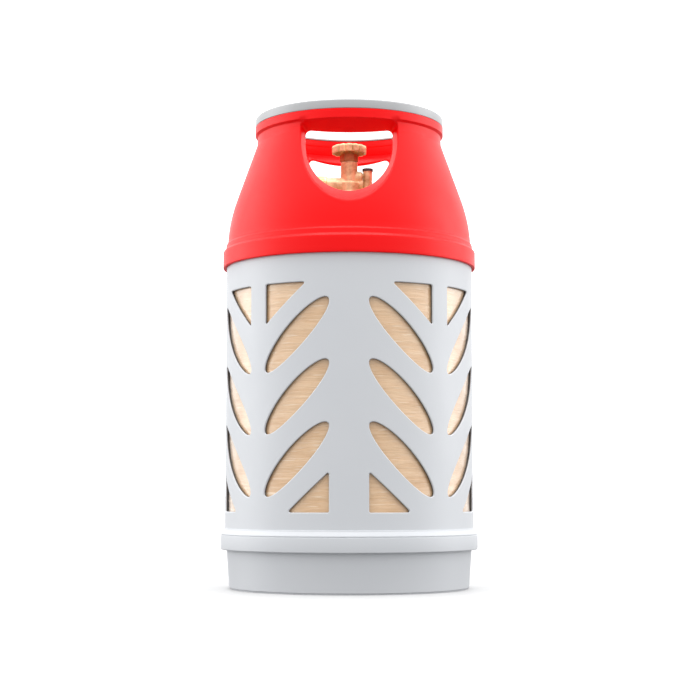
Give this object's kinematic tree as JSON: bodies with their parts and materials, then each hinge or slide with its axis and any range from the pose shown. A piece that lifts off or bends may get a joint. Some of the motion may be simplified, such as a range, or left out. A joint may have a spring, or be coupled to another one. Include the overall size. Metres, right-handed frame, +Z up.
{
  "type": "composite gas cylinder",
  "caption": "Portable composite gas cylinder: fibre-wound vessel in a light grey windowed sleeve and foot, red shroud with front and rear hand holes, brass handwheel valve inside.",
  "frame": {"origin": "middle of the foot's underside, on the floor under the vessel's axis", "axes": "+Z up along the vessel's axis, -Y out through the front hand hole, -X along the valve's outlet, +X towards its relief valve"},
  "size_m": [0.3046, 0.3046, 0.5634],
  "materials": {
    "grey_plastic": "light bluish grey moulded polyethylene, fine satin grain",
    "red_plastic": "saturated red moulded polyethylene, soft satin gloss",
    "glass_fibre": "tan glass fibre wound in clear resin, glossy with fine winding lines",
    "liner_plastic": "natural blow-moulded polyethylene",
    "black_plastic": "dark grey moulded plastic",
    "brass": "hot-forged and turned brass, satin",
    "steel": "zinc-plated steel",
    "rubber": "black nitrile rubber",
    "nylon": "off-white nylon"
  },
  "bodies": {
    "cylinder": {"base_foot": "grey_plastic", "mid_sleeve": "grey_plastic", "top_shroud": "red_plastic", "grip_ring": "grey_plastic", "fibre_overwrap": "glass_fibre", "liner": "liner_plastic", "neck_boss": "brass", "neck_seal": "rubber", "tail_boss": "black_plastic", "valve_body": "brass", "gland_nut": "brass", "gland_seal": "rubber", "relief_housing": "brass", "relief_plug": "brass"},
    "wheel": {"handwheel": "brass", "spindle": "brass", "wheel_nut": "steel"},
    "plug": {"valve_plug": "brass", "plug_pad": "nylon"},
    "gasket": {"outlet_gasket": "rubber"},
    "cap": {"outlet_cap": "brass"},
    "poppet": {"relief_poppet": "brass", "relief_seal": "rubber", "relief_nut": "steel", "relief_spring": "steel"},
    "dust_cap": {"relief_cap": "black_plastic"}
  },
  "joints": [
    {"name": "handwheel_turn", "type": "hinge", "parent": "cylinder", "child": "wheel", "pos_m": [0, 0, 0.51], "axis": [0, 0, 1], "range_deg": [0, 720]},
    {"name": "plug_lift", "type": "slide", "parent": "wheel", "child": "plug", "axis": [0, 0, 1], "range_m": [0, 0.003]},
    {"name": "outlet_cap_travel", "type": "slide", "parent": "cylinder", "child": "gasket", "axis": [-1, 0, 0], "range_m": [0, 0.014]},
    {"name": "outlet_cap_turn", "type": "hinge", "parent": "gasket", "child": "cap", "pos_m": [-0.04, 0, 0.4825], "axis": [1, 0, 0], "range_deg": [0, 2772]},
    {"name": "relief_lift", "type": "slide", "parent": "cylinder", "child": "poppet", "axis": [0, 0, 1], "range_m": [0, 0.0012], "stiffness_N_per_m": 3000, "springref_m": -0.004, "deforming": ["relief_spring"]},
    {"name": "relief_cap_pull", "type": "slide", "parent": "cylinder", "child": "dust_cap", "axis": [0, 0, 1], "range_m": [0, 0.008]}
  ],
  "couplings": [
    {"joint": "plug_lift", "follows": "handwheel_turn", "m_per_rad": 0.00023873},
    {"joint": "outlet_cap_travel", "follows": "outlet_cap_turn", "m_per_rad": 0.00028871}
  ]
}
